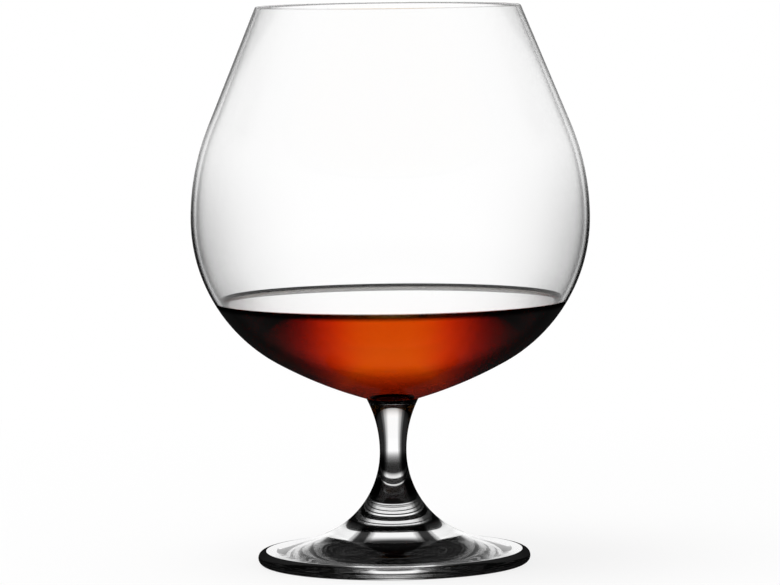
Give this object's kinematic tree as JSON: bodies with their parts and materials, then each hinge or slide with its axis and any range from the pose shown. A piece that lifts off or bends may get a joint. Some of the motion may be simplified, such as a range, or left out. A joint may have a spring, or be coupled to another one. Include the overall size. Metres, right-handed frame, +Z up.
{
  "type": "brandy snifter",
  "caption": "Clear glass snifter with a wide belly, a narrower mouth, a short waisted stem and a round foot, holding a measure of brandy.",
  "frame": {"origin": "on the axis, on the plane that the foot rests on", "axes": "+Z up the axis, from the foot to the mouth; the part is the same all round it"},
  "size_m": [0.11, 0.11, 0.1542],
  "materials": {
    "bowl_glass": "polished",
    "stem_glass": "polished",
    "foot_glass": "polished",
    "brandy": "polished"
  },
  "bodies": {
    "root": {"bowl": "bowl_glass", "stem": "stem_glass", "foot": "foot_glass", "brandy": "brandy"}
  },
  "joints": []
}
